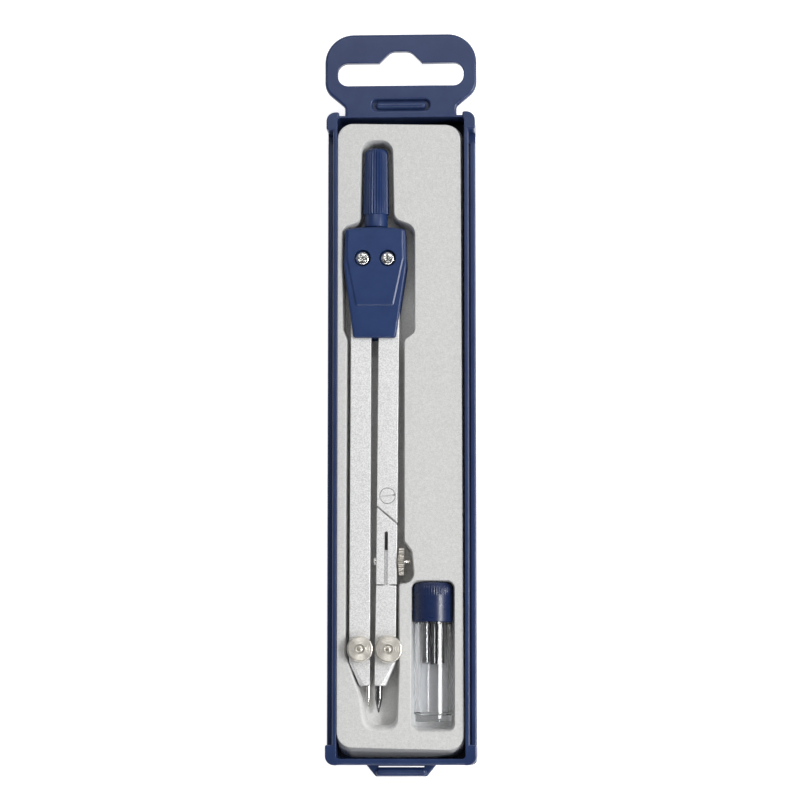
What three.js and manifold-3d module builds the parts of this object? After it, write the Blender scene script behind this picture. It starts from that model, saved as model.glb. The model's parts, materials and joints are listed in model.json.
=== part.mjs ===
// A drafting compass set: a geared-head compass with one plain leg and one jointed leg, and a tube of
// spare leads, laid in the flocked insert of a hanging tray. Millimetres, +Z up out of the tray, +Y
// towards the hang tab, origin in the middle of the tray's underside.
import * as THREE from 'three';
import { mergeVertices } from 'three/addons/utils/BufferGeometryUtils.js';
import Module from 'manifold-3d';

const wasm = await Module();
wasm.setup();

// ---- Driving dimensions: the tray ----
const RIM = 13;                       // height of the side rails and the corner ears
const LEDGE = 7;                      // height of the outer ledge that the lid's skirt lands on
const FLOOR = 1.2;
const EAR_X = 20.1;                   // outer half-width over the ears
const BODY_X = 19.85;                  // outer half-width below the ledge
const RAIL_X = 18.2;                  // outer half-width of the raised rail
const CAVITY_X = 17.25;
const BODY_TOP = 77.6;
const BODY_BOTTOM = -96.8;
const TOP_WALL = 0.5;                 // the wall under the neck of the hang tab is thin
const BOTTOM_WALL = 1.5;
const TAB_TOP = 100;
const TAB_FACE = 12.6;                // top face of the hang tab
const TAB_THICK = 2;
const LATCH_END = -100;

// ---- Driving dimensions: the insert ----
const INSERT_FACE = 12.2;
const INSERT_SKIN = 0.8;
const INSERT_FOOT = 1.5;
const COMPASS_FLOOR = 4.7;
const TUBE_FLOOR = 2.6;

// ---- Driving dimensions: the compass, in its own frame (y up the handle, z out of the tray) ----
const COMPASS_AT = new THREE.Vector3(-6.85, 38.5, 9.4);
const COMPASS_LEAN = THREE.MathUtils.degToRad(-0.4);
const PIVOT_X = 3.37;                 // half the distance between the two leg pivots
const HALF_LEG = 2.6;                 // half the thickness of a leg
const LEG_OUT = 6.5;                  // outer edge of a leg at the head
const LEG_IN = 1.05;                  // inner edge of a leg at the head
const LEG_END = -114.4;
const TAPER_Y = -108.1;               // where a leg starts to narrow towards its end
const CLAMP_Y = -104.8;               // the two thumb screws
const GEAR_HALF = 1.6;                // half the thickness of a gear sector
const GEAR_TEETH = 12;                // teeth of a full circle
const GEAR_ROOT = 2.68;
const GEAR_TIP = 3.78;
const COVER_FACE = 3.75;              // outer face of a head cover
const PLATEAU_FACE = 4.3;             // face of its raised field
const COVER_INSIDE = 2.8;
const KNEE = new THREE.Vector2(3.73, -63.9);
const STUD_Y = -81.3;                 // the socket's clamp stud
const SOCKET_END = -87.5;
const SHANK_X = 3.5;                  // axis of the lead holder's shank
const LEAD_X = 1.7;
const LEAD_RADIUS = 1.0;              // the compass lead and the spare leads alike
const NEEDLE_X = -1.1;
const NEEDLE_SCREW_X = -3.15;
const LEAD_SCREW_X = 4.4;

// ---- Driving dimensions: the lead tube, with its axis along Y ----
const TUBE_X = 8.47;
const TUBE_Z = 8.3;
const TUBE_BORE = 3.9;
const TUBE_FOOT = -85.4;
const CAP_MOUTH = -59.0;
const CAP_TOP = -48.45;

const SIDES = 28;                     // facets round an ordinary cylinder
const GAP = 0.3;                      // daylight between pieces that only touch

const plastic = new THREE.MeshStandardMaterial({ color: 0x2e3c6e, roughness: 0.4, metalness: 0 });
const tabPlastic = new THREE.MeshStandardMaterial({ color: 0x46557a, roughness: 0.45, metalness: 0 });
const flock = new THREE.MeshStandardMaterial({ color: 0xd4d4d0, roughness: 0.95, metalness: 0 });
const legMetal = new THREE.MeshStandardMaterial({ color: 0xdcdcde, roughness: 0.45, metalness: 0.7 });
const chrome = new THREE.MeshStandardMaterial({ color: 0xe4e4e2, roughness: 0.12, metalness: 1 });
const nickel = new THREE.MeshStandardMaterial({ color: 0xc2bba9, roughness: 0.3, metalness: 1 });
const steel = new THREE.MeshStandardMaterial({ color: 0xb8b8ba, roughness: 0.2, metalness: 1 });
const graphite = new THREE.MeshStandardMaterial({ color: 0x3a3a3e, roughness: 0.5, metalness: 0.2 });
const clear = new THREE.MeshStandardMaterial({ color: 0xb9bcc2, roughness: 0.05, metalness: 0 });

// ---- Solids ----

// A manifold solid from any closed three.js geometry, with its doubled corners welded.
function solid(geometry) {
  const bare = new THREE.BufferGeometry();
  bare.setAttribute('position', geometry.getAttribute('position').clone());
  if (geometry.index) bare.setIndex(geometry.index.clone());
  const welded = mergeVertices(bare, 1e-5);
  const corners = welded.index.array;
  const kept = [];
  for (let i = 0; i < corners.length; i += 3) {
    const [a, b, c] = corners.slice(i, i + 3);
    if (a !== b && b !== c && c !== a) kept.push(a, b, c);
  }
  const vertProperties = new Float32Array(welded.getAttribute('position').array);
  return new wasm.Manifold(new wasm.Mesh({ numProp: 3, vertProperties, triVerts: new Uint32Array(kept) }));
}

function join(first, ...others) {
  return others.reduce((sum, other) => sum.add(other), first);
}

function cut(first, ...others) {
  return others.reduce((rest, other) => rest.subtract(other), first);
}

// A closed outline through corners [x, y, radius], each rounded by its radius.
function outline(corners, steps = 5) {
  const points = [];
  corners.forEach(([x, y, radius = 0], i) => {
    const here = new THREE.Vector2(x, y);
    if (radius === 0) {
      points.push(here);
      return;
    }
    const [bx, by] = corners.at(i - 1);
    const [ax, ay] = corners[(i + 1) % corners.length];
    const back = new THREE.Vector2(bx, by).sub(here).normalize();
    const ahead = new THREE.Vector2(ax, ay).sub(here).normalize();
    const half = Math.acos(back.dot(ahead)) / 2;
    const middle = back.clone().add(ahead).normalize();
    const centre = here.clone().addScaledVector(middle, radius / Math.sin(half));
    const start = here.clone().addScaledVector(back, radius / Math.tan(half)).sub(centre);
    const side = Math.sign(back.cross(ahead));
    for (let k = 0; k <= steps; k += 1) {
      const turn = (-side * (Math.PI - 2 * half) * k) / steps;
      points.push(start.clone().rotateAround(new THREE.Vector2(), turn).add(centre));
    }
  });
  return points;
}

function rectangle(x0, y0, x1, y1, radius = 0, steps = 5) {
  return outline([[x0, y0, radius], [x1, y0, radius], [x1, y1, radius], [x0, y1, radius]], steps);
}

// The outline moved outwards by a distance, corner for corner.
function grow(points, distance) {
  const turnSign = THREE.ShapeUtils.isClockWise(points) ? -1 : 1;
  return points.map((here, i) => {
    const back = here.clone().sub(points.at(i - 1)).normalize();
    const ahead = points[(i + 1) % points.length].clone().sub(here).normalize();
    const normal = new THREE.Vector2(back.y + ahead.y, -back.x - ahead.x).normalize();
    const facing = normal.x * ahead.y - normal.y * ahead.x;
    return here.clone().addScaledVector(normal, (turnSign * distance) / facing);
  });
}

// A solid that runs from one outline at z0 to another, with as many points, at z1.
function loft(low, high, z0, z1) {
  const clockwise = THREE.ShapeUtils.isClockWise(low);
  const foot = clockwise ? [...low].reverse() : low;
  const head = clockwise ? [...high].reverse() : high;
  const n = foot.length;
  const position = [...foot.flatMap((p) => [p.x, p.y, z0]), ...head.flatMap((p) => [p.x, p.y, z1])];
  const index = [];
  for (const [a, b, c] of THREE.ShapeUtils.triangulateShape([...foot], [])) {
    index.push(a, c, b, n + a, n + b, n + c);
  }
  for (let i = 0; i < n; i += 1) {
    const j = (i + 1) % n;
    index.push(i, j, n + j, i, n + j, n + i);
  }
  const geometry = new THREE.BufferGeometry();
  geometry.setAttribute('position', new THREE.Float32BufferAttribute(position, 3));
  geometry.setIndex(index);
  return solid(geometry);
}

function prism(points, z0, z1) {
  return loft(points, points, z0, z1);
}

function block(x0, y0, z0, x1, y1, z1) {
  const box = new THREE.BoxGeometry(x1 - x0, y1 - y0, z1 - z0);
  box.translate((x0 + x1) / 2, (y0 + y1) / 2, (z0 + z1) / 2);
  return solid(box);
}

// Round bars along each axis.
function barX(radius, x0, x1, y, z, sides = SIDES) {
  const bar = new THREE.CylinderGeometry(radius, radius, x1 - x0, sides);
  bar.rotateZ(Math.PI / 2).translate((x0 + x1) / 2, y, z);
  return solid(bar);
}

function barY(radius, y0, y1, x, z, sides = SIDES) {
  const bar = new THREE.CylinderGeometry(radius, radius, y1 - y0, sides);
  bar.translate(x, (y0 + y1) / 2, z);
  return solid(bar);
}

function barZ(radius, z0, z1, x, y, sides = SIDES) {
  const bar = new THREE.CylinderGeometry(radius, radius, z1 - z0, sides);
  bar.rotateX(Math.PI / 2).translate(x, y, (z0 + z1) / 2);
  return solid(bar);
}

// A turned piece about an axis along Y, from a profile of [radius, y] that starts and ends on the axis.
function turned(profile, x, z, sides = SIDES) {
  const points = profile.map(([radius, y]) => new THREE.Vector2(radius, y));
  const lathe = new THREE.LatheGeometry(points, sides);
  lathe.translate(x, 0, z);
  return solid(lathe);
}

// ---- The assembly ----
const set = new THREE.Group();
const compass = new THREE.Group();
compass.position.copy(COMPASS_AT);
compass.rotation.z = COMPASS_LEAN;
set.add(compass);

function place(name, shape, material, group = set) {
  const { vertProperties, triVerts } = shape.getMesh();
  const geometry = new THREE.BufferGeometry();
  geometry.setAttribute('position', new THREE.BufferAttribute(new Float32Array(vertProperties), 3));
  geometry.setIndex(new THREE.BufferAttribute(new Uint32Array(triVerts), 1));
  geometry.computeVertexNormals();
  const mesh = new THREE.Mesh(geometry, material);
  mesh.name = name;
  group.add(mesh);
}

// ---- Case tray ----

// One corner ear: a full-height block whose outer corner is rounded.
function ear(side, y0, y1, roundTop) {
  const radius = 2.4;
  const low = roundTop ? 0.3 : radius;
  const high = roundTop ? radius : 0.3;
  const corners = [
    [CAVITY_X * side, y0], [EAR_X * side, y0, low], [EAR_X * side, y1, high], [CAVITY_X * side, y1],
  ];
  return prism(outline(corners), 0, RIM);
}

// The flat tab with a euro slot, the neck that carries it, and the neck's latch recess and bar.
function hangTab() {
  const low = TAB_FACE - TAB_THICK;
  const right = [[15.1, 77.3], [15.1, 80.0, 1.5], [20.5, 84.5, 5], [20.5, TAB_TOP, 7.8]];
  const left = right.map(([x, y, radius]) => [-x, y, radius]).reverse();
  const plate = prism(outline([...right, ...left], 8), low, TAB_FACE);
  const slot = prism(rectangle(-17, 85.75, 17, 92.1, 2.9, 8), low - 1, TAB_FACE + 1);
  const bump = [[-5.9, 91], [5.9, 91], [5.7, 92.1], [2.6, 95.25, 3.2], [-2.6, 95.25, 3.2], [-5.7, 92.1]];
  const recess = prism(rectangle(-7.9, 78.7, 7.9, 82.3, 1.79, 8), TAB_FACE - 1.1, TAB_FACE + 1);
  const bar = barX(1.05, -6.6, 6.6, 80.5, TAB_FACE - 1.1, 16);
  return join(cut(plate, slot, prism(outline(bump, 6), low - 1, TAB_FACE + 1), recess), bar);
}

// The lower latch: a tapered loop with a narrow slit for the lid's tongue.
function lowerLatch() {
  const z0 = 6.5;
  const z1 = 10;
  const loop = prism(outline([[-9.9, -96.4], [-6.8, LATCH_END], [6.8, LATCH_END], [9.9, -96.4]]), z0, z1);
  return cut(loop, block(-6.2, -97.45, z0 - 1, 6.2, -97.1, z1 + 1));
}

function caseTray() {
  const body = prism(rectangle(-BODY_X, BODY_BOTTOM, BODY_X, BODY_TOP, 1.5), 0, LEDGE);
  const rails = prism(rectangle(-RAIL_X, BODY_BOTTOM, RAIL_X, BODY_TOP, 1), LEDGE - 1, RIM);
  const shell = join(
    body,
    rails,
    ear(-1, 73.7, 78.6, true),
    ear(1, 73.7, 78.6, true),
    ear(-1, BODY_BOTTOM - 0.15, -91.5, false),
    ear(1, BODY_BOTTOM - 0.15, -91.5, false),
  );
  const top = BODY_TOP - TOP_WALL;
  const bottom = BODY_BOTTOM + BOTTOM_WALL;
  const cavity = prism(rectangle(-CAVITY_X, bottom, CAVITY_X, top, 1), FLOOR, RIM + 1);
  const undercut = prism(rectangle(-CAVITY_X - 1.3, bottom, CAVITY_X + 1.3, top, 1), FLOOR, LEDGE - 1.3);
  // Between the ears the end wall stops flush with the tab's face.
  const tabStep = block(-CAVITY_X, BODY_TOP - 4, TAB_FACE, CAVITY_X, BODY_TOP + 1, RIM + 1);
  // The lid's side hooks drop into a short notch in each ledge, just below the upper ears.
  const notches = [-1, 1].map((side) => {
    const inner = side * (RAIL_X + 0.05);
    const outer = side * (BODY_X + 1);
    return block(Math.min(inner, outer), 70.9, LEDGE - 1.0, Math.max(inner, outer), 73.6, LEDGE + 1);
  });
  return cut(join(cut(shell, cavity, undercut), hangTab(), lowerLatch()), tabStep, ...notches);
}

// ---- Insert ----
const insertTop = outline([[-16.95, -92.2, 4.2], [16.6, -93.0, 4.2], [16.0, 74.9, 4.2], [-16.95, 75.5, 4.2]]);
const insertFoot = outline([[-17.05, -94.8, 4.2], [16.95, -94.8, 4.2], [16.7, 75.9, 4.2], [-17.05, 75.9, 4.2]]);

// The compass pocket: handle, head, legs, clamp-nut bulge and the tapered end, as one outline.
const compassPocket = outline([
  [-10.55, 70.6, 3.2], [-10.95, 48.6, 2.2], [-15.55, 46.7, 2.2], [-15.55, 19.6, 2], [-14.4, 17.0, 2],
  [-14.8, -68.2, 4], [-10.8, -79.2, 5], [-9.5, -87.4, 2.8], [-1.3, -87.5, 2.6], [-0.6, -72, 4],
  [-0.6, -48.6, 0.6], [3.45, -48.6, 2.6], [2.75, -40.3, 2.5], [0.75, -37.5, 1.5], [0.75, 16.8, 1.5],
  [3.45, 18.8, 1.8], [3.45, 47.1, 2.8], [-2.05, 49.3, 2.2], [-2.5, 70.6, 3.2],
], 3);
const tubePocket = rectangle(TUBE_X - 5.55, -87.8, TUBE_X + 5.55, -48.15, 1.6, 4);

// Its floor: set in a little all round, and more and more where the lower end slopes up past the points.
const POCKET_DRAFT = 0.35;
const POCKET_MIDDLE = -5.4;
const SLOPE_START = -76;
const SLOPE_RUN = 11.5;

function pocketFloor() {
  return grow(compassPocket, -POCKET_DRAFT).map(({ x, y }) => {
    const share = Math.max(0, (SLOPE_START - y) / SLOPE_RUN);
    return new THREE.Vector2(x + (POCKET_MIDDLE - x) * 0.35 * share, y + 3 * share);
  });
}

function pockets(extra) {
  const compassWalls = grow(compassPocket, extra);
  const tubeWalls = grow(tubePocket, extra);
  const compassLow = grow(pocketFloor(), extra);
  return join(
    loft(compassLow, compassWalls, COMPASS_FLOOR - extra, INSERT_FACE + 0.01),
    prism(compassWalls, INSERT_FACE, INSERT_FACE + 2),
    prism(tubeWalls, TUBE_FLOOR - extra, INSERT_FACE + 2),
  );
}

function insert() {
  const block0 = loft(insertFoot, insertTop, INSERT_FOOT, INSERT_FACE);
  const footBelow = grow(insertFoot, -INSERT_SKIN);
  const underside = join(
    loft(footBelow, grow(insertTop, -INSERT_SKIN), INSERT_FOOT, INSERT_FACE - INSERT_SKIN),
    prism(footBelow, INSERT_FOOT - 1, INSERT_FOOT + 0.01),
  );
  return cut(block0, pockets(0), cut(underside, pockets(INSERT_SKIN)));
}

// ---- Compass head ----

// A head cover, made as the front one; the back one is its mirror image in z.
const coverOutline = outline([
  [5.7, -21.5, 0.8], [8.4, -2, 6], [8.2, 8.1, 0.9], [4.2, 8.45], [0, 8.55], [-4.2, 8.45], [-8.2, 8.1, 0.9],
  [-8.4, -2, 6], [-5.7, -21.5, 0.8],
], 3);
const plateauOutline = outline([
  [4.8, -12.7], [7.15, 0], [7.15, 7.9], [4.2, 8.2], [0, 8.3], [-4.2, 8.2], [-7.15, 7.9], [-7.15, 0],
  [-4.8, -12.7],
]);

function headCover() {
  const plate = join(prism(coverOutline, GAP / 2, COVER_FACE), prism(plateauOutline, 1, PLATEAU_FACE));
  // Room for the legs: open at the sides below the rim, where they swing out, and at the bottom.
  const room = join(
    prism(outline([[-7.0, -0.2], [7.0, -0.2], [7.0, 4.6, 1], [-7.0, 4.6, 1]]), -1, COVER_INSIDE),
    block(-10, -25, -1, 10, 0.1, COVER_INSIDE),
  );
  const bosses = [-PIVOT_X, PIVOT_X].map((x) => barZ(2.9, GEAR_HALF + 0.15, COVER_INSIDE + 0.2, x, 0));
  const stem = join(barY(1.75, 4, 9, 0, 0), barY(2.45, 5.3, 6.9, 0, 0));
  return cut(join(cut(plate, room), ...bosses), stem);
}

function frontCover() {
  const holes = [-PIVOT_X, PIVOT_X].flatMap((x) => [barZ(2.3, 3.0, 6, x, 0), barZ(1.25, 0, 4, x, 0)]);
  return cut(headCover(), ...holes);
}

function backCover() {
  const holes = [-PIVOT_X, PIVOT_X].flatMap((x) => [barZ(2.45, 2.4, 6, x, 0, 6), barZ(1.25, 0, 4, x, 0)]);
  return cut(headCover(), ...holes).mirror([0, 0, 1]);
}

// A cross-recess screw whose plain shank is the pivot of a leg.
function headScrew(x) {
  const recess = join(block(x - 1.1, -0.2, 3.6, x + 1.1, 0.2, 5), block(x - 0.2, -1.1, 3.6, x + 0.2, 1.1, 5));
  return cut(join(barZ(1.95, 3.05, 4.05, x, 0), barZ(1.15, -3.9, 3.2, x, 0)), recess);
}

function headNut(x) {
  return cut(barZ(2.3, -3.9, -2.5, x, 0, 6), barZ(1.22, -5, -2, x, 0));
}

// The ribbed handle grip, its smooth collar, and the flanged stem that the covers clamp.
function handleGrip() {
  const grip = [
    [0, 5.4], [2.3, 5.4], [2.3, 6.8], [1.6, 6.8], [1.6, 8.85], [3.15, 8.85], [3.15, 12.2], [3.4, 12.4],
    [3.1, 28.6], [2.75, 29.7], [1.9, 30.25], [0, 30.4],
  ];
  return turned(grip, 0, 0, 32);
}

// ---- Compass legs ----

// A gear sector in the middle of the leg's thickness: a hub with teeth on the side of the other leg.
function gearSector(pivotX, firstTooth, toothCount) {
  const pitch = (2 * Math.PI) / GEAR_TEETH;
  const towards = pivotX < 0 ? 0 : Math.PI;
  const upward = pivotX < 0 ? 1 : -1;
  const flank = [[2.3, 0.55], [2.7, 0.5], [PIVOT_X, 0.34], [GEAR_TIP, 0.16]];
  const tooth = outline([...flank.map(([x, y]) => [x, -y]), ...flank.reverse()]);
  const teeth = [];
  for (let k = 0; k < toothCount; k += 1) {
    const turn = towards + upward * pitch * (firstTooth + k);
    const turnedTooth = tooth.map((p) => p.clone().rotateAround(new THREE.Vector2(), turn));
    const shifted = turnedTooth.map((p) => p.clone().add(new THREE.Vector2(pivotX, 0)));
    teeth.push(prism(shifted, -GEAR_HALF, GEAR_HALF));
  }
  return join(barZ(GEAR_ROOT, -GEAR_HALF, GEAR_HALF, pivotX, 0), ...teeth);
}

// The stretch of leg between the gear sector and the full-thickness body.
function legRoot(side) {
  const middle = side * 3.75;
  const strap = prism(rectangle(middle - 2.25, -4.6, middle + 2.25, -0.2), -GEAR_HALF, GEAR_HALF);
  return cut(strap, barZ(1, -3, 3, side * PIVOT_X, 0));
}

function pivotHole(side) {
  return barZ(1.25, -4, 4, side * PIVOT_X, 0);
}

// The clamp at a leg's end: a slit between two jaws, a groove for the point and a hole for the screw.
function clampCuts(pointX, pointRadius, screwX, depth) {
  const middle = 4 * Math.sign(screwX);
  const slit = block(middle - 4, LEG_END - 1, -0.35, middle + 4, -97, 0.35);
  const groove = barY(pointRadius, LEG_END - 1, depth, pointX, 0, 20);
  return [slit, groove, barZ(1.02, -4, 4, screwX, CLAMP_Y, 20)];
}

function needleLeg() {
  const body = prism(outline([
    [-LEG_IN, -4.2, 0.4], [-LEG_OUT, -4.2, 0.6], [-6.15, TAPER_Y, 1.5], [-3.25, LEG_END, 0.4],
    [-0.6, LEG_END, 0.2],
  ], 3), -HALF_LEG, HALF_LEG);
  const blank = join(body, legRoot(-1), gearSector(-PIVOT_X, -1, 4));
  return cut(blank, pivotHole(-1), ...clampCuts(NEEDLE_X, 0.62, NEEDLE_SCREW_X, -100.5));
}

function upperLeadLeg() {
  const body = prism(outline([
    [LEG_IN, -4.2, 0.4], [LEG_OUT, -4.2, 0.6], [6.4, -71.15], [0.93, -66.5],
  ], 3), -HALF_LEG, HALF_LEG);
  const blank = join(body, legRoot(1), gearSector(PIVOT_X, -0.5, 4));
  const fork = block(-1, -80, -1.15, 9, -60.1, 1.15);
  const head = join(barZ(2.12, 1.7, 4, KNEE.x, KNEE.y), barZ(1.0, -4, 4, KNEE.x, KNEE.y));
  return cut(blank, pivotHole(1), fork, head);
}

// The slotted knee screw, flush in the upper cheek of the fork.
function kneeScrew() {
  const screw = join(barZ(2.02, 1.76, 2.55, KNEE.x, KNEE.y), barZ(0.9, -2.5, 2.0, KNEE.x, KNEE.y));
  return cut(screw, block(KNEE.x - 3, KNEE.y - 0.2, 2.2, KNEE.x + 3, KNEE.y + 0.2, 4));
}

// The knee piece: a tongue in the fork, and a split socket for the lead holder's shank.
function kneeSocket() {
  const body = prism(outline([
    [0.92, -66.95], [6.4, -71.6], [6.28, SOCKET_END], [0.86, SOCKET_END],
  ]), -HALF_LEG, HALF_LEG);
  const tongue = join(
    barZ(2.6, -1.0, 1.0, KNEE.x, KNEE.y),
    prism(outline([
      [KNEE.x - 2.5, -71], [KNEE.x + 2.4, -73], [KNEE.x + 2.4, KNEE.y], [KNEE.x - 2.5, KNEE.y],
    ]), -1, 1),
  );
  const split = prism(rectangle(SHANK_X - 0.47, -95, SHANK_X + 0.47, -73.4, 0.45, 3), -4, 4);
  return cut(
    join(body, tongue),
    barZ(1.0, -4, 4, KNEE.x, KNEE.y),
    split,
    barY(1.55, -95, -77.6, SHANK_X, 0),
    barX(0.82, -2, 9, STUD_Y, 0, 16),
  );
}

function clampStud() {
  return join(barX(1.2, 0.02, 0.78, STUD_Y, 0, 20), barX(0.7, 0.5, 9.8, STUD_Y, 0, 16));
}

// The knurled clamp nut on the outer side of the socket.
function clampNut() {
  const nut = join(barX(1.6, 6.42, 8.2, STUD_Y, 0, 20), barX(3.75, 6.8, 8.3, STUD_Y, 0, 32));
  return cut(nut, barX(0.8, 6, 9, STUD_Y, 0, 16));
}

// The removable lead holder, whose forked shank straddles the clamp stud.
function leadHolder() {
  const body = prism(outline([
    [0.86, SOCKET_END - GAP], [6.28, SOCKET_END - GAP], [6.2, TAPER_Y, 1.5], [3.5, LEG_END, 0.4],
    [0.62, LEG_END, 0.2],
  ], 3), -HALF_LEG, HALF_LEG);
  const shank = cut(barY(1.43, -89, -78.3, SHANK_X, 0), block(0, -83.2, -0.85, 8, -78, 0.85));
  return cut(join(body, shank), ...clampCuts(LEAD_X, LEAD_RADIUS + 0.1, LEAD_SCREW_X, -98));
}

// A thumb screw: knurled head, plain hub and a shank through both jaws.
function thumbScrew(x, radius) {
  const hub = barZ(2.1, HALF_LEG + 0.05, 3.3, x, CLAMP_Y);
  const head = join(barZ(radius, 3.15, 5.3, x, CLAMP_Y, 32), barZ(radius - 0.4, 5.2, 5.6, x, CLAMP_Y, 32));
  const dimple = barZ(0.9, 5.2, 6, x, CLAMP_Y, 16);
  return join(hub, cut(head, dimple), barZ(0.92, -2.3, 3, x, CLAMP_Y, 20));
}

function needle() {
  return turned([[0, -120.5], [0.5, -116.8], [0.5, -103.6], [0, -103.6]], NEEDLE_X, 0, 16);
}

function lead() {
  const profile = [[0, -121.5], [0.2, -121.4], [LEAD_RADIUS, -117.8], [LEAD_RADIUS, -101.4], [0, -101.4]];
  return turned(profile, LEAD_X, 0, 20);
}

// ---- Lead tube ----
function tubeBody() {
  const outside = [
    [0, TUBE_FOOT], [4.4, TUBE_FOOT], [4.7, TUBE_FOOT + 0.3], [4.7, -83.6], [5.2, -83.4],
    [5.2, CAP_MOUTH - 0.35], [4.5, CAP_MOUTH - 0.35], [4.5, -51.4], [0, -51.4],
  ];
  return cut(turned(outside, TUBE_X, TUBE_Z, 32), barY(TUBE_BORE, -83.2, -50, TUBE_X, TUBE_Z, 32));
}

function tubeCap() {
  const outside = [
    [0, CAP_MOUTH], [5.35, CAP_MOUTH], [5.35, CAP_TOP - 1.6], [4.9, CAP_TOP - 0.45], [3.8, CAP_TOP],
    [0, CAP_TOP],
  ];
  return cut(turned(outside, TUBE_X, TUBE_Z, 32), barY(4.62, -60, -50.2, TUBE_X, TUBE_Z, 32));
}

const SPARE_LENGTH = 17.5;
// Spare leads lie side by side along the low side of the bore: [x offset, z offset, lower end].
const spareLeads = [[0.0, -2.78, -70.1], [-2.15, -1.75, -69.8], [2.15, -1.75, -69.9]];

place('case_tray', caseTray(), plastic);
place('insert', insert(), flock);
place('handle_grip', handleGrip(), plastic, compass);
place('head_front_cover', frontCover(), plastic, compass);
place('head_back_cover', backCover(), plastic, compass);
place('head_screw_left', headScrew(-PIVOT_X), chrome, compass);
place('head_screw_right', headScrew(PIVOT_X), chrome, compass);
place('head_nut_left', headNut(-PIVOT_X), steel, compass);
place('head_nut_right', headNut(PIVOT_X), steel, compass);
place('needle_leg', needleLeg(), legMetal, compass);
place('lead_leg_upper', upperLeadLeg(), legMetal, compass);
place('knee_screw', kneeScrew(), legMetal, compass);
place('knee_socket', kneeSocket(), legMetal, compass);
place('socket_clamp_stud', clampStud(), chrome, compass);
place('socket_clamp_nut', clampNut(), nickel, compass);
place('lead_holder', leadHolder(), legMetal, compass);
place('needle_thumb_screw', thumbScrew(NEEDLE_SCREW_X, 3.5), nickel, compass);
place('lead_thumb_screw', thumbScrew(LEAD_SCREW_X, 3.7), nickel, compass);
place('needle', needle(), steel, compass);
place('compass_lead', lead(), graphite, compass);
place('tube_body', tubeBody(), clear);
place('tube_cap', tubeCap(), tabPlastic);
spareLeads.forEach(([dx, dz, low], i) => {
  const stick = barY(LEAD_RADIUS, low, low + SPARE_LENGTH, TUBE_X + dx, TUBE_Z + dz, 16);
  place(`spare_lead_${i + 1}`, stick, graphite);
});

export default set;
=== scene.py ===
"""Drafting compass set in its hanging tray: the looks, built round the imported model.

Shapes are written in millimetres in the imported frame, +Z up out of the tray and +Y towards the hang tab.
The compass's pieces are written in the compass's own frame: y up the handle, z out of the tray.
"""
import json
import math

import bmesh
import bpy
from mathutils import Matrix, Vector


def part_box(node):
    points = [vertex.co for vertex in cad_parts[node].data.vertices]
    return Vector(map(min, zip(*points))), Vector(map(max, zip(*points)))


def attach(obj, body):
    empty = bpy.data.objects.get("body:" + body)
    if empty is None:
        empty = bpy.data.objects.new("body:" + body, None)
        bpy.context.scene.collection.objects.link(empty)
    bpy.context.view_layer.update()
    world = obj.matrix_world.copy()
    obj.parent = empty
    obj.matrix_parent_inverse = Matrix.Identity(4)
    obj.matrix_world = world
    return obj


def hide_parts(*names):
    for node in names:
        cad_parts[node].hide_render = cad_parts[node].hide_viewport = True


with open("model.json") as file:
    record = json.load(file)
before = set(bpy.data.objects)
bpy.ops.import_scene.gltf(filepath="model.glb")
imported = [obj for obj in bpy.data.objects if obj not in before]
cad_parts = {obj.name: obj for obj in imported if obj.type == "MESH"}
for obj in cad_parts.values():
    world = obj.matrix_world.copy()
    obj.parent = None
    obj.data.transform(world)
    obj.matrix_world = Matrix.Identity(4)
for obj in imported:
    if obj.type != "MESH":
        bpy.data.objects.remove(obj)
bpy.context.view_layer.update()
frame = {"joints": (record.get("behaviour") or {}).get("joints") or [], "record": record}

MM = 0.001
SCALE = Matrix.Scale(MM, 4)
joints = {joint["name"]: joint for joint in frame["joints"]}


def node_box(node):
    """Lowest and highest corner of a CAD node, in millimetres."""
    low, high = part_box(node)
    return low / MM, high / MM


# ---- Driving dimensions of the case: the CAD's, but for the two that say so ----
tray_low, tray_high = node_box("case_tray")
RIM = tray_high.z       # height of the side rails and the corner ears
LEDGE = 7.0             # height of the outer ledge
FLOOR = 1.2
EAR_X = 20.1            # outer half-width over the ears
BODY_X = 20.0           # outer half-width below the ledge, 0.15 more than the CAD's
RAIL_X = 18.2           # outer half-width of the raised rail
CAVITY_X = 17.25
BODY_TOP = 77.6
BODY_BOTTOM = -96.8
TOP_WALL = 0.4          # the thin wall under the hang tab, 0.1 less than the CAD's
BOTTOM_WALL = 1.5
TAB_FACE = 12.6
INSERT_FACE = node_box("insert")[1].z
INSERT_FOOT = 1.5
INSERT_SKIN = 0.8
COMPASS_FLOOR = 4.7
TUBE_FLOOR = 2.6

# ---- Driving dimensions of the compass, in its own frame: the CAD's, but for the two that say so ----
HALF_LEG = 2.6          # half the thickness of a leg
LEG_END = -114.4
TAPER_Y = -108.1        # where a leg starts to narrow towards its end
CLAMP_Y = -104.8        # the two thumb screws
GEAR_HALF = 1.6         # half the thickness of a gear sector
COVER_FACE = 4.0        # outer face of a head cover, 0.25 above the CAD's
PLATEAU_FACE = 4.3      # face of its raised field
COVER_INSIDE = 2.8
PIVOT_HOLE = 1.25
KNEE = Vector((3.73, -63.9))
STUD_Y = -81.3          # the stud of the socket clamp
SOCKET_END = -87.5
SHANK_X = 3.5           # axis of the lead holder's shank
LEAD_X = 1.7
LEAD_RADIUS = 1.0
NEEDLE_X = -1.1
NEEDLE_RADIUS = 0.54    # 0.04 more than the CAD's
NEEDLE_SCREW_X = -3.15
LEAD_SCREW_X = 4.4
GAP = 0.3               # daylight between pieces that only touch

tube_low, tube_high = node_box("tube_body")
TUBE_X = (tube_low.x + tube_high.x) / 2
TUBE_Z = (tube_low.z + tube_high.z) / 2
TUBE_FOOT = tube_low.y
CAP_MOUTH, CAP_TOP = (corner.y for corner in node_box("tube_cap"))

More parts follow.
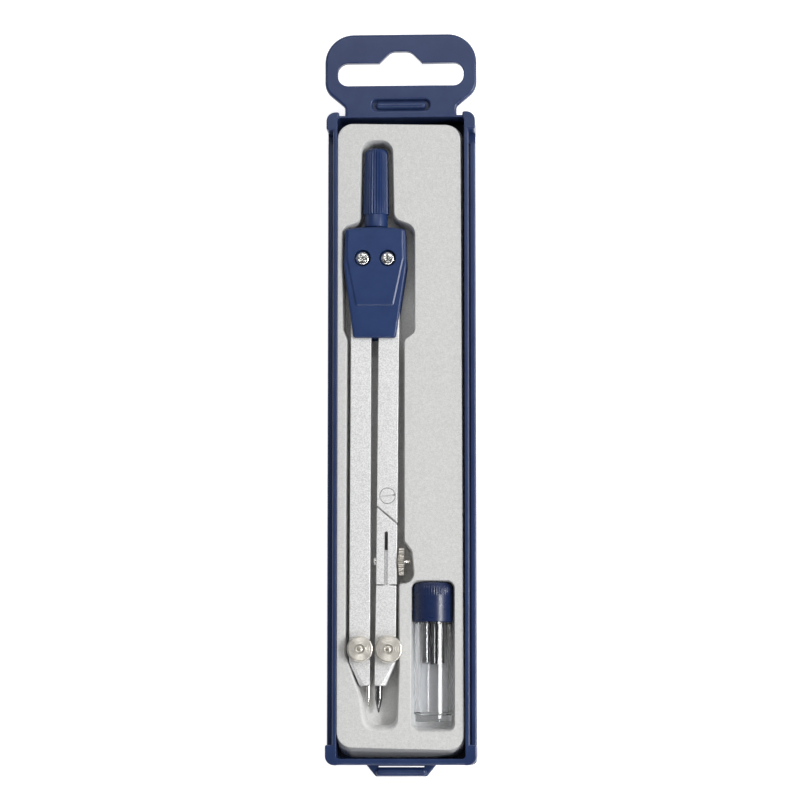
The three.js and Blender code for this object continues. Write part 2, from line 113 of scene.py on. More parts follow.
# The compass's frame: midway between the two leg pivots, leaning as the line through them does.
left_pivot = Vector(joints["needle_leg_swing"]["pos_m"]) / MM
right_pivot = Vector(joints["lead_leg_swing"]["pos_m"]) / MM
across = right_pivot - left_pivot
PIVOT_X = across.length / 2
LEAN = Matrix.Rotation(math.atan2(across.y, across.x), 4, "Z")
COMPASS = Matrix.Translation((left_pivot + right_pivot) / 2) @ LEAN


# ---- Camera, lights and floor ----
CAMERA_AT = Vector((39.7, -92.8, 850.0))
CAMERA_TARGET = Vector((-0.3, 0.5, 10.0))
LENS = 141.9


def add_camera():
    """Straight above, a little towards the lower right, with +Y up in the picture."""
    ahead = (CAMERA_TARGET - CAMERA_AT).normalized()
    right = ahead.cross(Vector((0, 1, 0))).normalized()
    up = right.cross(ahead)
    data = bpy.data.cameras.new("camera")
    data.sensor_width = 36.0
    data.lens = LENS
    data.clip_start = 0.05
    data.clip_end = 20.0
    camera = bpy.data.objects.new("camera", data)
    facing = Matrix((right, up, -ahead)).transposed().to_4x4()
    camera.matrix_world = Matrix.Translation(CAMERA_AT * MM) @ facing
    bpy.context.scene.collection.objects.link(camera)
    bpy.context.scene.camera = camera


def add_softbox(name, at, width, height, power):
    """An area light in metres that faces the middle of the tray."""
    data = bpy.data.lights.new(name, "AREA")
    data.shape = "RECTANGLE"
    data.size = width
    data.size_y = height
    data.energy = power
    light = bpy.data.objects.new(name, data)
    light.location = at
    light.rotation_euler = (Vector((0, 0, 0.01)) - Vector(at)).to_track_quat("-Z", "Y").to_euler()
    bpy.context.scene.collection.objects.link(light)


def add_world():
    """A dome that is bright near the horizon, dim straight overhead, and dimmer on the left and in front."""
    world = bpy.data.worlds.new("studio")
    bpy.context.scene.world = world
    world.use_nodes = True
    tree = world.node_tree
    coords = tree.nodes.new("ShaderNodeTexCoord")
    split = tree.nodes.new("ShaderNodeSeparateXYZ")
    tree.links.new(coords.outputs["Generated"], split.inputs[0])
    brightness = fade(tree, split.outputs["Z"], 0.2, 0.97, 1.0, 0.17)
    for side in (fade(tree, split.outputs["X"], -0.6, 0.3, 0.55, 1.0),
                 fade(tree, split.outputs["Y"], -0.6, 0.2, 0.45, 1.0)):
        product = tree.nodes.new("ShaderNodeMath")
        product.operation = "MULTIPLY"
        tree.links.new(brightness, product.inputs[0])
        tree.links.new(side, product.inputs[1])
        brightness = product.outputs["Value"]
    background = tree.nodes["Background"]
    tree.links.new(brightness, background.inputs["Color"])
    background.inputs["Strength"].default_value = 0.76


def fade(tree, factor, start, end, low, high):
    """A value that runs from low to high as the factor runs from start to end, and stays there beyond."""
    node = tree.nodes.new("ShaderNodeMapRange")
    node.inputs["From Min"].default_value = start
    node.inputs["From Max"].default_value = end
    node.inputs["To Min"].default_value = low
    node.inputs["To Max"].default_value = high
    tree.links.new(factor, node.inputs["Value"])
    return node.outputs["Result"]


def add_floor():
    """A pale, softly glowing floor just under the tray."""
    half = 3.0
    drop = 0.00003
    mesh = bpy.data.meshes.new("floor")
    corners = [(-half, -half, -drop), (half, -half, -drop), (half, half, -drop), (-half, half, -drop)]
    mesh.from_pydata(corners, [], [(0, 1, 2, 3)])
    floor = bpy.data.objects.new("floor", mesh)
    bpy.context.scene.collection.objects.link(floor)
    paint = bpy.data.materials.new("pale_floor")
    paint.use_nodes = True
    shader = paint.node_tree.nodes["Principled BSDF"]
    shader.inputs["Base Color"].default_value = (0.93, 0.93, 0.93, 1)
    shader.inputs["Roughness"].default_value = 0.9
    shader.inputs["Emission Color"].default_value = (1, 1, 1, 1)
    shader.inputs["Emission Strength"].default_value = 0.75
    mesh.materials.append(paint)


# ---- Shapes ----

def outline(corners, steps=8):
    """A closed outline through corners (x, y, radius), each rounded by its radius."""
    points = []
    for i, (x, y, radius) in enumerate(corners):
        here = Vector((x, y))
        if radius == 0:
            points.append(here)
            continue
        back = (Vector(corners[i - 1][:2]) - here).normalized()
        ahead = (Vector(corners[(i + 1) % len(corners)][:2]) - here).normalized()
        half = math.acos(max(-1.0, min(1.0, back.dot(ahead)))) / 2
        centre = here + (back + ahead).normalized() * (radius / math.sin(half))
        start = here + back * (radius / math.tan(half)) - centre
        side = math.copysign(1, back.cross(ahead))
        for k in range(steps + 1):
            turn = Matrix.Rotation(-side * (math.pi - 2 * half) * k / steps, 2)
            points.append(centre + turn @ start)
    return points


def rectangle(x0, y0, x1, y1, radius=0.0, steps=8):
    """The outline of a rectangle, its corners rounded by the radius."""
    return outline([(x0, y0, radius), (x1, y0, radius), (x1, y1, radius), (x0, y1, radius)], steps)


def mirrored(corners):
    """Corners of the right half followed by their mirror images on the left."""
    return corners + [(-x, y, radius) for x, y, radius in reversed(corners)]


def circle(x, y, radius, sides=48):
    turns = (2 * math.pi * k / sides for k in range(sides))
    return [Vector((x + radius * math.cos(turn), y + radius * math.sin(turn))) for turn in turns]


def signed_area(points):
    """The area inside the outline, negative if it runs clockwise."""
    return sum(points[i - 1].cross(points[i]) for i in range(len(points))) / 2


def grow(points, distance):
    """The outline moved outwards by a distance, corner for corner."""
    sign = math.copysign(1, signed_area(points))
    grown = []
    for i, here in enumerate(points):
        back = (here - points[i - 1]).normalized()
        ahead = (points[(i + 1) % len(points)] - here).normalized()
        normal = Vector((back.y + ahead.y, -back.x - ahead.x)).normalized()
        facing = normal.x * ahead.y - normal.y * ahead.x
        grown.append(here + normal * (sign * distance / facing))
    return grown


def new_object(vertices, faces):
    """An object whose caps, the faces with more than four corners, are split into triangles."""
    mesh = bpy.data.meshes.new("shape")
    mesh.from_pydata([tuple(v) for v in vertices], [], faces)
    shell = bmesh.new()
    shell.from_mesh(mesh)
    bmesh.ops.triangulate(shell, faces=[face for face in shell.faces if len(face.verts) > 4])
    shell.to_mesh(mesh)
    shell.free()
    shape = bpy.data.objects.new("shape", mesh)
    bpy.context.scene.collection.objects.link(shape)
    return shape


def loft(rings):
    """A closed solid through rings (points, z) that all have the same number of points."""
    if signed_area(rings[0][0]) < 0:
        rings = [(list(reversed(points)), z) for points, z in rings]
    count = len(rings[0][0])
    vertices = [(p.x, p.y, z) for points, z in rings for p in points]
    faces = [tuple(reversed(range(count))), tuple(range(len(vertices) - count, len(vertices)))]
    for r in range(len(rings) - 1):
        for i in range(count):
            j = (i + 1) % count
            low, high = r * count, (r + 1) * count
            faces.append((low + i, low + j, high + j, high + i))
    return new_object(vertices, faces)


def rounding(points, z, radius, upward, steps):
    """Rings that round an edge: upward from the wall to the top face, or from the bottom face to the wall."""
    if radius == 0:
        return [(points, z)]
    rings = []
    for k in range(steps + 1):
        turn = math.pi / 2 * k / steps
        if upward:
            rings.append((grow(points, -radius * (1 - math.cos(turn))), z - radius * (1 - math.sin(turn))))
        else:
            rings.append((grow(points, -radius * (1 - math.sin(turn))), z + radius * (1 - math.cos(turn))))
    return rings


def slab(points, z0, z1, top=0.2, bottom=None, steps=3, high=None):
    """A plate with rounded edges. high is the outline at z1 if it isn't the one at z0."""
    bottom = top if bottom is None else bottom
    return loft(rounding(points, z0, bottom, False, steps) + rounding(high or points, z1, top, True, steps))


def pocket(points, z0, z1, flare, foot=0.0, draft=0.0, steps=4):
    """A cutter for a pocket: rounded at its foot, drafted, and flared out to the outline at z1."""
    wall = grow(points, -flare)
    rings = rounding(grow(wall, -draft), z0, foot, False, steps)
    for k in range(steps + 1):
        turn = math.pi / 2 * k / steps
        rings.append((grow(wall, flare * (1 - math.cos(turn))), z1 - flare * (1 - math.sin(turn))))
    rings.append((grow(wall, flare), z1 + 3))
    return loft(rings)


# How far across and how far up a soft pocket's wall runs, from its bed (0, 0) to its rim (1, 1).
WALL = (
    (0.0, 0.0), (0.12, 0.01), (0.22, 0.04), (0.31, 0.12), (0.38, 0.28), (0.44, 0.5),
    (0.5, 0.7), (0.58, 0.84), (0.68, 0.92), (0.8, 0.97), (0.9, 0.99), (1.0, 1.0),
)


def basin(bed, rim, z0, z1):
    """A cutter for a soft pocket whose walls sweep up from the outline of its bed to that of its rim."""
    rings = []
    for across, upward in WALL:
        points = [low.lerp(high, across) for low, high in zip(bed, rim)]
        rings.append((points, z0 + (z1 - z0) * upward))
    rings.append((rim, z1 + 3))
    return loft(rings)


def block(x0, y0, z0, x1, y1, z1):
    """A box between two corners."""
    return loft([(rectangle(x0, y0, x1, y1), z0), (rectangle(x0, y0, x1, y1), z1)])


def lathe(profile, sides=96, shaped=None):
    """A solid turned about Z from a profile (radius, z) whose two ends lie on the axis.

    shaped(radius, z, turn) gives the true radius where the solid isn't quite round.
    """
    vertices = [(0, 0, profile[0][1])]
    for radius, z in profile[1:-1]:
        for k in range(sides):
            turn = 2 * math.pi * k / sides
            r = shaped(radius, z, turn) if shaped else radius
            vertices.append((r * math.cos(turn), r * math.sin(turn), z))
    vertices.append((0, 0, profile[-1][1]))
    last = len(vertices) - 1
    faces = []
    for k in range(sides):
        j = (k + 1) % sides
        faces.append((0, 1 + j, 1 + k))
        for r in range(len(profile) - 3):
            low, high = 1 + r * sides, 1 + (r + 1) * sides
            faces.append((low + k, low + j, high + j, high + k))
        faces.append((last, last - sides + k, last - sides + j))
    return new_object(vertices, faces)


def rod(radius, z0, z1, chamfer=0.0, sides=48):
    """A round bar along Z, its ends chamfered if a chamfer is given."""
    if chamfer == 0:
        return lathe([(0, z0), (radius, z0), (radius, z1), (0, z1)], sides)
    low = [(0, z0), (radius - chamfer, z0), (radius, z0 + chamfer)]
    high = [(radius, z1 - chamfer), (radius - chamfer, z1), (0, z1)]
    return lathe(low + high, sides)


# Turns that lay a shape made along Z along another axis.
ALONG_X = Matrix.Rotation(math.pi / 2, 4, "Y")
ALONG_Y = Matrix.Rotation(-math.pi / 2, 4, "X")


def moved(shape, x=0.0, y=0.0, z=0.0, turn=None):
    """The shape turned, then moved."""
    shape.data.transform(Matrix.Translation((x, y, z)) @ (turn or Matrix.Identity(4)))
    return shape


def bar_x(radius, x0, x1, y, z):
    return moved(rod(radius, x0, x1), 0, y, z, ALONG_X)


def bar_y(radius, y0, y1, x, z, chamfer=0.0):
    return moved(rod(radius, y0, y1, chamfer), x, 0, z, ALONG_Y)


def bar_z(radius, z0, z1, x, y, chamfer=0.0, sides=48):
    return moved(rod(radius, z0, z1, chamfer, sides), x, y, 0)


def combine(shape, operation, tools):
    """Applies the tools to the shape one by one, and removes them."""
    for tool in tools:
        modifier = shape.modifiers.new("combine", "BOOLEAN")
        modifier.operation = operation
        modifier.solver = "MANIFOLD"
        modifier.object = tool
        evaluated = shape.evaluated_get(bpy.context.evaluated_depsgraph_get())
        result = bpy.data.meshes.new_from_object(evaluated)
        shape.modifiers.clear()
        shape.data = result
        bpy.data.objects.remove(tool)
    return shape


def cut(shape, *tools):
    return combine(shape, "DIFFERENCE", tools)


def join(shape, *tools):
    return combine(shape, "UNION", tools)


# ---- Materials ----

def mix_noise(tree, size, detail=3.0, stretch=(1, 1, 1)):
    """A noise in the object's own space whose features are about size millimetres."""
    coords = tree.nodes.new("ShaderNodeTexCoord")
    mapping = tree.nodes.new("ShaderNodeMapping")
    mapping.inputs["Scale"].default_value = [s / (size * MM) for s in stretch]
    noise = tree.nodes.new("ShaderNodeTexNoise")
    noise.inputs["Scale"].default_value = 1.0
    noise.inputs["Detail"].default_value = detail
    tree.links.new(coords.outputs["Object"], mapping.inputs["Vector"])
    tree.links.new(mapping.outputs["Vector"], noise.inputs["Vector"])
    return noise.outputs["Fac"]


def ramp(tree, factor, low, high):
    """A colour that runs from low to high over the middle of the factor's range."""
    node = tree.nodes.new("ShaderNodeValToRGB")
    first, last = node.color_ramp.elements
    first.position = 0.35
    last.position = 0.65
    first.color = (*low, 1)
    last.color = (*high, 1)
    tree.links.new(factor, node.inputs["Fac"])
    return node.outputs["Color"]


def bumped(tree, factor, depth, strength, under=None):
    """A bump of depth millimetres, on top of another bump's normal if one is given."""
    node = tree.nodes.new("ShaderNodeBump")
    node.inputs["Distance"].default_value = depth * MM
    node.inputs["Strength"].default_value = strength
    tree.links.new(factor, node.inputs["Height"])
    if under is not None:
        tree.links.new(under, node.inputs["Normal"])
    return node.outputs["Normal"]


def surface(name, dark, light, patch, rough, grain, depth, stretch=(1, 1, 1), **sockets):
    """A principled material whose colour varies in patches and whose roughness and relief follow a grain.

    dark and light are linear colours, patch and grain are feature sizes in millimetres, rough is the range
    of roughness, and depth is the relief in millimetres.
    """
    material = bpy.data.materials.new(name)
    material.use_nodes = True
    tree = material.node_tree
    shader = tree.nodes["Principled BSDF"]
    tree.links.new(ramp(tree, mix_noise(tree, patch), dark, light), shader.inputs["Base Color"])
    fine = mix_noise(tree, grain, 2.0, stretch)
    tree.links.new(fade(tree, fine, 0.3, 0.7, *rough), shader.inputs["Roughness"])
    tree.links.new(bumped(tree, fine, depth, 1.0), shader.inputs["Normal"])
    for socket, value in sockets.items():
        shader.inputs[socket.replace("_", " ")].default_value = value
    return material


def flock():
    """Short fibres on a thin sheet: soft, matt and faintly mottled."""
    material = surface(
        "insert_flock", (0.66, 0.66, 0.65), (0.72, 0.72, 0.71), 0.7, (0.9, 1.0), 0.28, 0.05,
        Sheen_Weight=0.25, Sheen_Roughness=0.6,
    )
    tree = material.node_tree
    shader = tree.nodes["Principled BSDF"]
    fibres = tree.nodes.new("ShaderNodeMix")
    fibres.data_type = "RGBA"
    fibres.blend_type = "MULTIPLY"
    fibres.inputs["Factor"].default_value = 1.0
    patches = shader.inputs["Base Color"].links[0].from_socket
    tree.links.new(patches, fibres.inputs["A"])
    specks = ramp(tree, mix_noise(tree, 0.22, 1.0), (0.86, 0.86, 0.86), (1, 1, 1))
    tree.links.new(specks, fibres.inputs["B"])
    tree.links.new(fibres.outputs["Result"], shader.inputs["Base Color"])
    folds = bumped(tree, mix_noise(tree, 5.0), 0.12, 0.5, shader.inputs["Normal"].links[0].from_socket)
    tree.links.new(folds, shader.inputs["Normal"])
    return material


def clear_plastic():
    """Clear moulded tube: glass-like, but its shadow lets most of the light straight through."""
    material = surface(
        "clear_plastic", (0.97, 0.975, 0.98), (0.99, 0.99, 0.995), 6.0, (0.02, 0.06), 0.8, 0.004,
        Transmission_Weight=1.0, IOR=1.49,
    )
    tree = material.node_tree
    shader = tree.nodes["Principled BSDF"]
    output = tree.nodes["Material Output"]
    path = tree.nodes.new("ShaderNodeLightPath")
    through = tree.nodes.new("ShaderNodeBsdfTransparent")
    through.inputs["Color"].default_value = (0.75, 0.76, 0.78, 1)
    mix = tree.nodes.new("ShaderNodeMixShader")
    tree.links.new(path.outputs["Is Shadow Ray"], mix.inputs["Fac"])
    tree.links.new(shader.outputs["BSDF"], mix.inputs[1])
    tree.links.new(through.outputs["BSDF"], mix.inputs[2])
    tree.links.new(mix.outputs["Shader"], output.inputs["Surface"])
    return material


def leg_metal():
    """Pearl plating: bright, satin, with a fine sparkle."""
    material = surface(
        "leg_metal", (0.70, 0.70, 0.70), (0.98, 0.98, 0.98), 0.34, (0.28, 0.42), 0.22, 0.04,
        Metallic=0.2,
    )
    tree = material.node_tree
    shader = tree.nodes["Principled BSDF"]
    waves = bumped(tree, mix_noise(tree, 1.1), 0.02, 0.6, shader.inputs["Normal"].links[0].from_socket)
    tree.links.new(waves, shader.inputs["Normal"])
    return material


MATERIALS = {
    "case_plastic": surface(
        "case_plastic", (0.017, 0.034, 0.108), (0.023, 0.044, 0.128), 7.0, (0.28, 0.31), 0.5, 0.0003,
        Specular_IOR_Level=0.5,
    ),
    "head_plastic": surface(
        "head_plastic", (0.014, 0.037, 0.130), (0.018, 0.044, 0.146), 4.0, (0.30, 0.33), 0.5, 0.0002,
        Specular_IOR_Level=0.45,
    ),
    "cap_plastic": surface(
        "cap_plastic", (0.006, 0.016, 0.066), (0.009, 0.022, 0.084), 3.0, (0.26, 0.34), 1.2, 0.004,
        IOR=1.5,
    ),
    "insert_flock": flock(),
    "leg_metal": leg_metal(),
    "screw_chrome": surface(
        "screw_chrome", (0.80, 0.80, 0.79), (0.95, 0.95, 0.94), 0.5, (0.06, 0.18), 0.45, 0.03,
        Metallic=1.0,
    ),
    "thumb_nickel": surface(
        "thumb_nickel", (0.61, 0.58, 0.52), (0.74, 0.71, 0.65), 0.9, (0.28, 0.40), 0.2, 0.012,
        Metallic=0.9,
    ),
    "needle_steel": surface(
        "needle_steel", (0.62, 0.60, 0.57), (0.82, 0.81, 0.78), 1.0, (0.10, 0.24), 0.12, 0.004,
        stretch=(1, 0.1, 1), Metallic=1.0,
    ),
    "graphite": surface(
        "graphite", (0.13, 0.13, 0.135), (0.22, 0.22, 0.225), 0.5, (0.12, 0.22), 0.12, 0.004,
        Metallic=0.9,
    ),
    "clear_plastic": clear_plastic(),
}


# ---- Putting a piece into the frame ----
SHARP = math.radians(38)    # edges sharper than this stay crisp
CRISP = math.radians(20)    # the same, for pieces with faint creases or rings


def merge_flat_faces(mesh):
    """Joins the coplanar triangles that cutting leaves, so that flat faces shade flat."""
    shell = bmesh.new()
    shell.from_mesh(mesh)
    bmesh.ops.dissolve_limit(shell, angle_limit=math.radians(0.4), verts=shell.verts, edges=shell.edges)
    shell.to_mesh(mesh)
    shell.free()


def piece(name, node, shape, place=None, sharp=SHARP):
    """Puts a finished shape into the frame: it rides on the node's body and stands for the node."""
    rows = frame["record"]
    slot = next(part["material_slot"] for part in rows["subparts"] if part["node"] == node)
    body = next(body for body, nodes in rows["behaviour"]["bodies"].items() if node in nodes)
    shape.name = name
    shape.data.name = name
    shape.data.transform(SCALE @ (place or Matrix.Identity(4)))
    shape.data.materials.clear()
    shape.data.materials.append(MATERIALS[slot])
    merge_flat_faces(shape.data)
    shape.data.shade_smooth()
    shape.data.set_sharp_from_angle(angle=sharp)
    normals = shape.modifiers.new("normals", "WEIGHTED_NORMAL")
    normals.keep_sharp = True
    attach(shape, body)
    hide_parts(node)


# ---- Case tray ----

def ear(side, y0, y1, round_top):
    """One corner ear, whose outer corner at the tray's end is rounded well."""
    radius = 2.4
    small = 0.5
    low, high = (small, radius) if round_top else (radius, small)
    inner = side * (CAVITY_X - 0.6)
    outer = side * EAR_X
    corners = [(inner, y0, small), (outer, y0, low), (outer, y1, high), (inner, y1, small)]
    return slab(outline(corners), 0, RIM, 0.4)


def hang_tab():
    """The tab with its display slot, on a neck with a latch recess and bar."""
    low = TAB_FACE - 2
    right = [(15.1, 76.4, 0), (15.1, 80.0, 1.5), (20.5, 84.5, 5), (20.5, tray_high.y, 7.8)]
    plate = slab(outline(mirrored(right), 12), low, TAB_FACE, 0.8, 0.3, 5)
    slot = pocket(rectangle(-17.25, 85.55, 17.25, 92.3, 3.0, 12), low - 1, TAB_FACE, 0.25)
    bump = outline(mirrored([(6.1, 91.0, 0), (5.9, 92.3, 0.4), (2.7, 95.5, 3.2)]), 10)
    recess = pocket(rectangle(-8.3, 78.5, 8.3, 82.5, 1.95, 10), TAB_FACE - 1.3, TAB_FACE, 0.5, 0.3)
    bar = moved(lathe(capsule(1.05, -6.9, 6.9), 32), 0, 80.5, TAB_FACE - 0.95, ALONG_X)
    return join(cut(plate, slot, pocket(bump, low - 1, TAB_FACE, 0.25), recess), bar)


def capsule(radius, z0, z1, steps=6):
    """The profile of a rod with round ends."""
    ends = [(radius * math.sin(math.pi / 2 * k / steps), radius * (1 - math.cos(math.pi / 2 * k / steps)))
            for k in range(steps + 1)]
    return [(r, z0 + h) for r, h in ends] + [(r, z1 - h) for r, h in reversed(ends)]


def lower_latch():
    """The tapered loop at the lower end: a narrow slit, and a rounded bar below it."""
    z0, z1 = 6.5, 9.4
    end = tray_low.y
    loop = slab(outline(mirrored([(9.9, -96.0, 0), (6.8, end + 0.15, 0.8)])), z0, z1, 0.5)
    bar = moved(lathe(capsule(1.15, -6.9, 6.9), 40), 0, end + 1.35, z1 - 0.35, ALONG_X)
    slit = block(-6.1, -97.36, z0 - 1, 6.1, -97.06, z1 + 1)
    return cut(join(loop, bar), slit)


def case_tray():
    """One moulding: a low body with raised rails, ears, tab and latch, and the cavity with its undercut."""
    body = slab(rectangle(-BODY_X, BODY_BOTTOM, BODY_X, BODY_TOP, 1.5), 0, LEDGE, 0.45, 0.6)
    rails = slab(rectangle(-RAIL_X, BODY_BOTTOM, RAIL_X, BODY_TOP, 1.0), LEDGE - 1, RIM, 0.45, 0)
    shell = join(body, rails)
    top = BODY_TOP - TOP_WALL
    bottom = BODY_BOTTOM + BOTTOM_WALL
    step = block(-CAVITY_X, BODY_TOP - 4, TAB_FACE - 0.05, CAVITY_X, BODY_TOP + 1, RIM + 1)
    wide = CAVITY_X + 1.2
    undercut = slab(rectangle(-wide, bottom, wide, top, 1.0), FLOOR, LEDGE - 1.3, 0.1, 0.5)
    cavity = pocket(rectangle(-CAVITY_X, bottom, CAVITY_X, top, 1.0), FLOOR + 0.2, RIM, 0.12)
    shell = cut(shell, step, undercut)
    for side in (-1, 1):
        shell = join(shell, ear(side, 73.7, 78.6, True), ear(side, BODY_BOTTOM - 0.1, -91.5, False))
    shell = cut(join(shell, hang_tab(), lower_latch()), cavity)
    # Each ledge has a short notch for the lid's hook, and a long groove beside the rail.
    for side in (-1, 1):
        inner, outer = sorted((side * (RAIL_X + 0.05), side * (BODY_X + 1)))
        shell = cut(shell, block(inner, 70.9, LEDGE - 1.0, outer, 73.6, LEDGE + 1))
        inner, outer = sorted((side * (RAIL_X - 0.15), side * (RAIL_X + 0.5)))
        shell = cut(shell, block(inner, -91.4, LEDGE - 1.1, outer, 70.8, LEDGE + 0.05))
    return shell


# ---- Insert ----

def point_ramp():
    """The slope by which the compass pocket's floor rises below the points."""
    rise = [
        (-66.5, -0.2), (-68, 0.02), (-70, 0.12), (-72, 0.32), (-74, 0.65), (-76, 1.1), (-78, 1.6),
        (-79.2, 1.9), (-81, 2.35), (-83, 2.7), (-87.6, 3.0),
    ]
    start, end = rise[0][0], rise[-1][0]
    profile = [Vector((y, COMPASS_FLOOR + z)) for y, z in rise]
    profile += [Vector((y, COMPASS_FLOOR - 0.4)) for y in (end, start)]
    slope = loft([(profile, -13.4), (profile, 0.1)])
    # It was drawn with its axes (y, z, x).
    slope.data.transform(Matrix(((0, 0, 1, 0), (1, 0, 0, 0), (0, 1, 0, 0), (0, 0, 0, 1))))
    return slope


def compass_outlines():
    """The rim and the bed of the compass pocket: round the handle, head, legs and clamp nut."""
    rim = outline([
        (-10.9, 71.1, 3.4), (-11.35, 48.9, 2.4), (-15.9, 47.1, 2.2), (-15.9, 19.2, 2.0), (-14.75, 16.6, 2.0),
        (-15.1, -68.0, 4.0), (-11.3, -79.2, 6.0), (-10.1, -88.2, 3.2), (-0.75, -88.3, 3.0),
        (-0.2, -72.0, 4.0), (-0.2, -49.1, 0.8), (3.95, -49.05, 3.0), (3.2, -40.1, 2.6), (1.15, -37.4, 1.5),
        (1.15, 16.4, 1.5), (3.95, 18.4, 2.0), (3.95, 47.5, 3.2), (-1.6, 49.7, 2.2), (-2.05, 71.1, 3.4),
    ], 6)
    bed = outline([
        (-10.15, 70.1, 2.8), (-10.5, 48.2, 2.6), (-15.1, 46.5, 1.7), (-15.1, 19.7, 1.5), (-14.0, 17.1, 2.3),
        (-14.2, -67.6, 3.4), (-9.6, -78.6, 6.0), (-7.6, -84.7, 2.4), (-2.2, -84.9, 2.2),
        (-1.1, -72.0, 4.0), (-1.1, -48.2, 1.0), (3.0, -48.2, 2.2), (2.4, -40.5, 2.2), (0.4, -37.7, 1.8),
        (0.4, 17.0, 1.8), (3.1, 19.0, 1.6), (3.1, 46.8, 2.6), (-2.4, 48.9, 2.6), (-2.85, 70.1, 2.8),
    ], 6)
    return rim, bed


def insert():
    """The flocked sheet: a thin shell that fills the tray, with soft rims round its two sunk pockets."""
    top = outline([(-17.1, -92.2, 4.2), (16.75, -93.05, 4.2), (16.1, 74.9, 4.2), (-17.1, 75.6, 4.2)], 12)
    foot = outline([(-17.1, -94.8, 4.2), (16.95, -94.8, 4.2), (16.8, 75.9, 4.2), (-17.1, 75.9, 4.2)], 12)
    compass_rim, compass_bed = compass_outlines()
    tube_rim = rectangle(TUBE_X - 5.95, -88.3, TUBE_X + 5.95, -47.9, 2.2, 8)
    tube_bed = rectangle(TUBE_X - 5.2, -86.4, TUBE_X + 5.2, -48.7, 1.4, 8)
    shoulder = [point.lerp(edge, 0.56) for point, edge in zip(top, foot)]
    wall = [(foot, INSERT_FOOT), (foot, INSERT_FACE - 8), (shoulder, INSERT_FACE - 3.6)]
    sheet = loft(wall + rounding(top, INSERT_FACE, 0.3, True, 4))
    within, roof = grow(foot, -INSERT_SKIN), grow(top, -INSERT_SKIN)
    underside = slab(within, INSERT_FOOT - 1, INSERT_FACE - INSERT_SKIN, 0, 0, 1, roof)
    compass_skin = slab(grow(compass_rim, 0.3), COMPASS_FLOOR - INSERT_SKIN, INSERT_FACE, 0, 0, 1)
    tube_skin = slab(grow(tube_rim, 0.4), TUBE_FLOOR - INSERT_SKIN, INSERT_FACE, 0, 0, 1)
    sheet = cut(
        sheet,
        cut(underside, compass_skin, tube_skin),
        basin(compass_bed, compass_rim, COMPASS_FLOOR, INSERT_FACE),
        basin(tube_bed, tube_rim, TUBE_FLOOR, INSERT_FACE),
    )
    return join(sheet, point_ramp())


# ---- Compass head ----

COVER = outline([
    (5.7, -21.5, 0.8), (8.45, -2, 6), (8.1, 7.9, 0.9), (4.2, 8.4, 0), (0, 8.6, 0), (-4.2, 8.4, 0),
    (-8.1, 7.9, 0.9), (-8.45, -2, 6), (-5.7, -21.5, 0.8),
])
PLATEAU = outline(mirrored([(4.75, -12.5, 0.2), (7.3, 0, 2), (7.1, 7.7, 0.3)]))


def head_cover(front):
    """A head cover with a raised field, bosses at the pivots and a seat for the stem.

    The back one is the front one's mirror image, but with hexagons for the nuts.
    """
    plate = slab(COVER, GAP / 2, COVER_FACE, 0.6, 0.05, 5)
    crease = [(0.42, 0.34), (0.38, 0.18), (0.02, 0.01), (-0.02, 0.0)]
    slope = [(grow(PLATEAU, spread), PLATEAU_FACE - drop) for spread, drop in crease]
    field = loft([(grow(PLATEAU, crease[0][0]), 1.0)] + slope)
    edge = slab(grow(COVER, -0.45), 0.8, PLATEAU_FACE + 1, 0)
    plate = join(plate, combine(field, "INTERSECT", [edge]))
    gear_room = outline([(-7.0, -0.2, 0), (7.0, -0.2, 0), (7.0, 4.6, 1), (-7.0, 4.6, 1)])
    leg_room = block(-10, -25, -1, 10, 0.1, COVER_INSIDE)
    plate = cut(plate, slab(gear_room, -1, COVER_INSIDE, 0), leg_room)
    for x in (-PIVOT_X, PIVOT_X):
        plate = join(plate, bar_z(2.9, GEAR_HALF + 0.15, COVER_INSIDE + 0.2, x, 0))
        if front:
            sink = pocket(circle(x, 0, 2.35), 2.9, PLATEAU_FACE, 0.08)
        else:
            sink = bar_z(2.45, 2.4, 6, x, 0, 0, 6)
        plate = cut(plate, sink, bar_z(PIVOT_HOLE, 0, 4, x, 0))
    plate = cut(plate, bar_y(1.75, 4, 9, 0, 0), bar_y(2.45, 5.3, 6.9, 0, 0))
    if not front:
        plate.data.transform(Matrix.Scale(-1, 4, (0, 0, 1)))
        plate.data.flip_normals()
    return plate


def head_screw(x, turn):
    """A pan-head screw with a tapered cross recess; its shank is the pivot of a leg."""
    dome = [(1.98, 3.05), (1.98, 3.3), (1.93, 3.52), (1.78, 3.74), (1.5, 3.92), (1.05, 4.02), (0.5, 4.06)]
    shank = [(0, -3.9), (1.05, -3.9), (1.15, -3.8), (1.15, 3.05)]
    screw = lathe(shank + dome + [(0, 4.06)], 64)
    for extra in (0, math.pi / 2):
        wide = rectangle(-1.5, -0.42, 1.5, 0.42, 0.3, 5)
        narrow = rectangle(-0.6, -0.14, 0.6, 0.14, 0.1, 5)
        cross_turn = Matrix.Rotation(turn + extra, 4, "Z")
        screw = cut(screw, moved(loft([(narrow, 3.2), (wide, 4.12)]), turn=cross_turn))
    for k in range(4):
        nick = block(-0.07, 0.85, 3.6, 0.07, 1.6, 4.3)
        around = Matrix.Rotation(turn + math.pi / 4 + k * math.pi / 2, 4, "Z")
        screw = cut(screw, moved(nick, turn=around))
    return moved(screw, x)


def head_nut(x):
    """A hexagon nut in the back cover."""
    nut = bar_z(2.3, -3.9, -2.5, 0, 0, 0.15, 6)
    return moved(cut(nut, bar_z(1.22, -5, -2, 0, 0)), x)


RIBS = 28
RIB_DEPTH = 0.3


